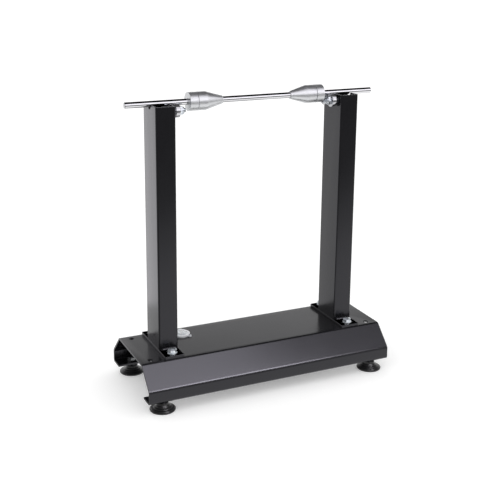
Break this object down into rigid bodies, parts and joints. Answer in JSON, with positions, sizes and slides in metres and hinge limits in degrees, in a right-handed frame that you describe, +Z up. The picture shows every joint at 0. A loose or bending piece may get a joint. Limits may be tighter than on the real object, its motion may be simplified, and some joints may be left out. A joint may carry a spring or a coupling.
{
  "type": "motorcycle wheel balancer",
  "caption": "Bench stand for balancing motorcycle wheels: posts on a folded steel base carry a free-turning shaft with sliding cones on ball-bearing rollers.",
  "frame": {"origin": "on the floor, under the middle of the footprint", "axes": "+X along the shaft, +Y to the back, +Z up"},
  "size_m": [0.442, 0.196, 0.4952],
  "materials": {
    "black_powder_coat": "satin black powder coat",
    "chrome": "ground and chromed steel bar",
    "turned_aluminium": "turned, bare",
    "zinc_steel": "bright zinc plate",
    "bearing_steel": "ground bearing steel",
    "black_screw": "black oxide steel",
    "black_plastic": "moulded, matt",
    "white_plastic": "moulded, glossy",
    "clear_lens": "clear moulded cover",
    "level_liquid": "tinted liquid"
  },
  "bodies": {
    "stand": {"base_channel": "black_powder_coat", "left_post": "black_powder_coat", "right_post": "black_powder_coat", "left_foot_plate": "black_powder_coat", "right_foot_plate": "black_powder_coat", "weld_beads": "black_powder_coat", "plate_bolts": "zinc_steel", "plate_washers": "zinc_steel", "plate_nuts": "zinc_steel", "axle_bolts": "zinc_steel", "axle_spacers": "zinc_steel", "axle_nuts": "zinc_steel", "bearing_inner_rings": "bearing_steel", "bearing_balls": "bearing_steel", "foot_nuts": "zinc_steel", "level_body": "white_plastic", "level_lens": "clear_lens", "level_fluid": "level_liquid"},
    "shaft": {"shaft": "chrome"},
    "left_cone": {"left_cone": "turned_aluminium", "left_lock_ring": "turned_aluminium"},
    "right_cone": {"right_cone": "turned_aluminium", "right_lock_ring": "turned_aluminium"},
    "left_lock_screw": {"left_lock_screw": "black_screw"},
    "right_lock_screw": {"right_lock_screw": "black_screw"},
    "front_left_roller": {"front_left_roller_ring": "bearing_steel"},
    "front_left_foot_pad": {"front_left_foot_pad": "black_plastic"},
    "front_left_foot_stud": {"front_left_foot_stud": "zinc_steel"},
    "back_left_roller": {"back_left_roller_ring": "bearing_steel"},
    "back_left_foot_pad": {"back_left_foot_pad": "black_plastic"},
    "back_left_foot_stud": {"back_left_foot_stud": "zinc_steel"},
    "front_right_roller": {"front_right_roller_ring": "bearing_steel"},
    "front_right_foot_pad": {"front_right_foot_pad": "black_plastic"},
    "front_right_foot_stud": {"front_right_foot_stud": "zinc_steel"},
    "back_right_roller": {"back_right_roller_ring": "bearing_steel"},
    "back_right_foot_pad": {"back_right_foot_pad": "black_plastic"},
    "back_right_foot_stud": {"back_right_foot_stud": "zinc_steel"}
  },
  "joints": [
    {"name": "shaft_spin", "type": "hinge", "parent": "stand", "child": "shaft", "pos_m": [0, 0, 0.48017], "axis": [1, 0, 0], "continuous": true},
    {"name": "left_cone_slide", "type": "slide", "parent": "shaft", "child": "left_cone", "axis": [1, 0, 0], "range_m": [-0.008, 0.055]},
    {"name": "right_cone_slide", "type": "slide", "parent": "shaft", "child": "right_cone", "axis": [-1, 0, 0], "range_m": [0, 0.06]},
    {"name": "left_lock_screw_slide", "type": "slide", "parent": "left_cone", "child": "left_lock_screw", "axis": [0, 1, 0], "range_m": [0, 0.0018]},
    {"name": "right_lock_screw_slide", "type": "slide", "parent": "right_cone", "child": "right_lock_screw", "axis": [0, 1, 0], "range_m": [0, 0.0018]},
    {"name": "front_left_roller_spin", "type": "hinge", "parent": "stand", "child": "front_left_roller", "pos_m": [-0.1395, -0.0115, 0.469], "axis": [1, 0, 0], "continuous": true},
    {"name": "back_left_roller_spin", "type": "hinge", "parent": "stand", "child": "back_left_roller", "pos_m": [-0.1395, 0.0115, 0.469], "axis": [1, 0, 0], "continuous": true},
    {"name": "front_right_roller_spin", "type": "hinge", "parent": "stand", "child": "front_right_roller", "pos_m": [0.1395, -0.0115, 0.469], "axis": [1, 0, 0], "continuous": true},
    {"name": "back_right_roller_spin", "type": "hinge", "parent": "stand", "child": "back_right_roller", "pos_m": [0.1395, 0.0115, 0.469], "axis": [1, 0, 0], "continuous": true},
    {"name": "front_left_foot_height", "type": "slide", "parent": "stand", "child": "front_left_foot_pad", "axis": [0, 0, -1], "range_m": [-0.003, 0.004]},
    {"name": "front_left_foot_turn", "type": "hinge", "parent": "front_left_foot_pad", "child": "front_left_foot_stud", "pos_m": [-0.1925, -0.077, 0.014], "axis": [0, 0, -1], "range_deg": [-865, 1153]},
    {"name": "back_left_foot_height", "type": "slide", "parent": "stand", "child": "back_left_foot_pad", "axis": [0, 0, -1], "range_m": [-0.003, 0.004]},
    {"name": "back_left_foot_turn", "type": "hinge", "parent": "back_left_foot_pad", "child": "back_left_foot_stud", "pos_m": [-0.1925, 0.077, 0.014], "axis": [0, 0, -1], "range_deg": [-865, 1153]},
    {"name": "front_right_foot_height", "type": "slide", "parent": "stand", "child": "front_right_foot_pad", "axis": [0, 0, -1], "range_m": [-0.003, 0.004]},
    {"name": "front_right_foot_turn", "type": "hinge", "parent": "front_right_foot_pad", "child": "front_right_foot_stud", "pos_m": [0.1925, -0.077, 0.014], "axis": [0, 0, -1], "range_deg": [-865, 1153]},
    {"name": "back_right_foot_height", "type": "slide", "parent": "stand", "child": "back_right_foot_pad", "axis": [0, 0, -1], "range_m": [-0.003, 0.004]},
    {"name": "back_right_foot_turn", "type": "hinge", "parent": "back_right_foot_pad", "child": "back_right_foot_stud", "pos_m": [0.1925, 0.077, 0.014], "axis": [0, 0, -1], "range_deg": [-865, 1153]}
  ],
  "couplings": [
    {"joint": "front_left_roller_spin", "follows": "shaft_spin", "ratio": -0.45454},
    {"joint": "back_left_roller_spin", "follows": "shaft_spin", "ratio": -0.45454},
    {"joint": "front_right_roller_spin", "follows": "shaft_spin", "ratio": -0.45454},
    {"joint": "back_right_roller_spin", "follows": "shaft_spin", "ratio": -0.45454},
    {"joint": "front_left_foot_turn", "follows": "front_left_foot_height", "rad_per_m": 5026.5},
    {"joint": "back_left_foot_turn", "follows": "back_left_foot_height", "rad_per_m": 5026.5},
    {"joint": "front_right_foot_turn", "follows": "front_right_foot_height", "rad_per_m": 5026.5},
    {"joint": "back_right_foot_turn", "follows": "back_right_foot_height", "rad_per_m": 5026.5}
  ]
}
